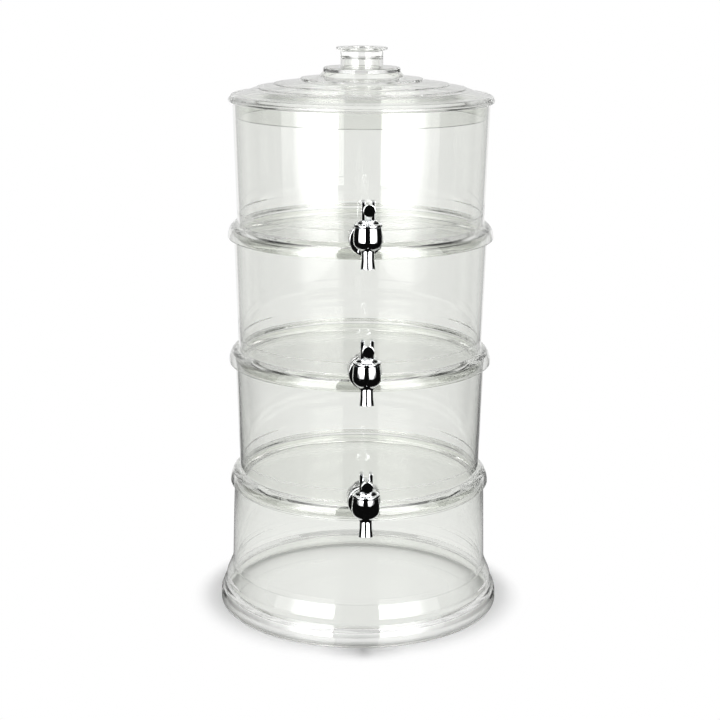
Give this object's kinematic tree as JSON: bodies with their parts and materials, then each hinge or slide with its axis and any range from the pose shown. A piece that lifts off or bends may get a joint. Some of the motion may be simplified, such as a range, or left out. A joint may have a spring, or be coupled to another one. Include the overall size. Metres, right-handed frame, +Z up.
{
  "type": "tiered beverage dispenser",
  "caption": "Stack of clear round drink tanks on a clear flared stand, each tank with a chrome lever spigot low at the front, under a stepped clear lid with a round knob.",
  "frame": {"origin": "on the ground, midway between the back of the stand and the tips of the lever balls; the axis of the stack is 34.0 mm behind it, at y = +34.0 mm", "axes": "+Z up, -Y towards the spigots at the front, +X to the right seen from the front"},
  "size_m": [0.2922, 0.3602, 0.5775],
  "materials": {
    "clear_plastic": "clear, polished",
    "chrome_plate": "mirror chrome plate",
    "steel": "bright drawn steel",
    "white_plastic": "plain moulded",
    "silicone": "translucent white silicone",
    "rubber": "dull black rubber"
  },
  "bodies": {
    "stand": {"stand": "clear_plastic"},
    "lower_tier": {"tank_lower": "clear_plastic", "spigot_body_lower": "chrome_plate", "bonnet_lower": "chrome_plate", "outer_gasket_lower": "rubber", "inner_gasket_lower": "rubber", "lock_nut_lower": "white_plastic"},
    "stem_lower": {"valve_stem_lower": "white_plastic", "hinge_pin_lower": "steel", "seat_cup_lower": "silicone"},
    "lever_lower": {"lever_lower": "chrome_plate"},
    "middle_tier": {"tank_middle": "clear_plastic", "spigot_body_middle": "chrome_plate", "bonnet_middle": "chrome_plate", "outer_gasket_middle": "rubber", "inner_gasket_middle": "rubber", "lock_nut_middle": "white_plastic"},
    "stem_middle": {"valve_stem_middle": "white_plastic", "hinge_pin_middle": "steel", "seat_cup_middle": "silicone"},
    "lever_middle": {"lever_middle": "chrome_plate"},
    "upper_tier": {"tank_upper": "clear_plastic", "spigot_body_upper": "chrome_plate", "bonnet_upper": "chrome_plate", "outer_gasket_upper": "rubber", "inner_gasket_upper": "rubber", "lock_nut_upper": "white_plastic"},
    "stem_upper": {"valve_stem_upper": "white_plastic", "hinge_pin_upper": "steel", "seat_cup_upper": "silicone"},
    "lever_upper": {"lever_upper": "chrome_plate"},
    "lid": {"lid": "clear_plastic", "lid_knob": "clear_plastic"}
  },
  "joints": [
    {"name": "lower_tier_lift", "type": "slide", "parent": "stand", "child": "lower_tier", "axis": [0, 0, 1], "range_m": [0, 0.05]},
    {"name": "stem_rise_lower", "type": "slide", "parent": "lower_tier", "child": "stem_lower", "axis": [0, 0, 1], "range_m": [0, 0.00188], "deforming": ["seat_cup_lower"]},
    {"name": "lever_tilt_lower", "type": "hinge", "parent": "stem_lower", "child": "lever_lower", "pos_m": [0, -0.146, 0.1841], "axis": [1, 0, 0], "range_deg": [0, 30], "stiffness_Nm_per_rad": 0.15, "springref_deg": -17.19},
    {"name": "middle_tier_lift", "type": "slide", "parent": "lower_tier", "child": "middle_tier", "axis": [0, 0, 1], "range_m": [0, 0.05]},
    {"name": "stem_rise_middle", "type": "slide", "parent": "middle_tier", "child": "stem_middle", "axis": [0, 0, 1], "range_m": [0, 0.00188], "deforming": ["seat_cup_middle"]},
    {"name": "lever_tilt_middle", "type": "hinge", "parent": "stem_middle", "child": "lever_middle", "pos_m": [0, -0.146, 0.3129], "axis": [1, 0, 0], "range_deg": [0, 30], "stiffness_Nm_per_rad": 0.15, "springref_deg": -17.19},
    {"name": "upper_tier_lift", "type": "slide", "parent": "middle_tier", "child": "upper_tier", "axis": [0, 0, 1], "range_m": [0, 0.05]},
    {"name": "stem_rise_upper", "type": "slide", "parent": "upper_tier", "child": "stem_upper", "axis": [0, 0, 1], "range_m": [0, 0.00188], "deforming": ["seat_cup_upper"]},
    {"name": "lever_tilt_upper", "type": "hinge", "parent": "stem_upper", "child": "lever_upper", "pos_m": [0, -0.146, 0.4417], "axis": [1, 0, 0], "range_deg": [0, 30], "stiffness_Nm_per_rad": 0.15, "springref_deg": -17.19},
    {"name": "lid_lift", "type": "slide", "parent": "upper_tier", "child": "lid", "axis": [0, 0, 1], "range_m": [0, 0.05]}
  ],
  "couplings": [
    {"joint": "lever_tilt_lower", "follows": "stem_rise_lower", "rad_per_m": 277.7},
    {"joint": "lever_tilt_middle", "follows": "stem_rise_middle", "rad_per_m": 277.7},
    {"joint": "lever_tilt_upper", "follows": "stem_rise_upper", "rad_per_m": 277.7}
  ]
}
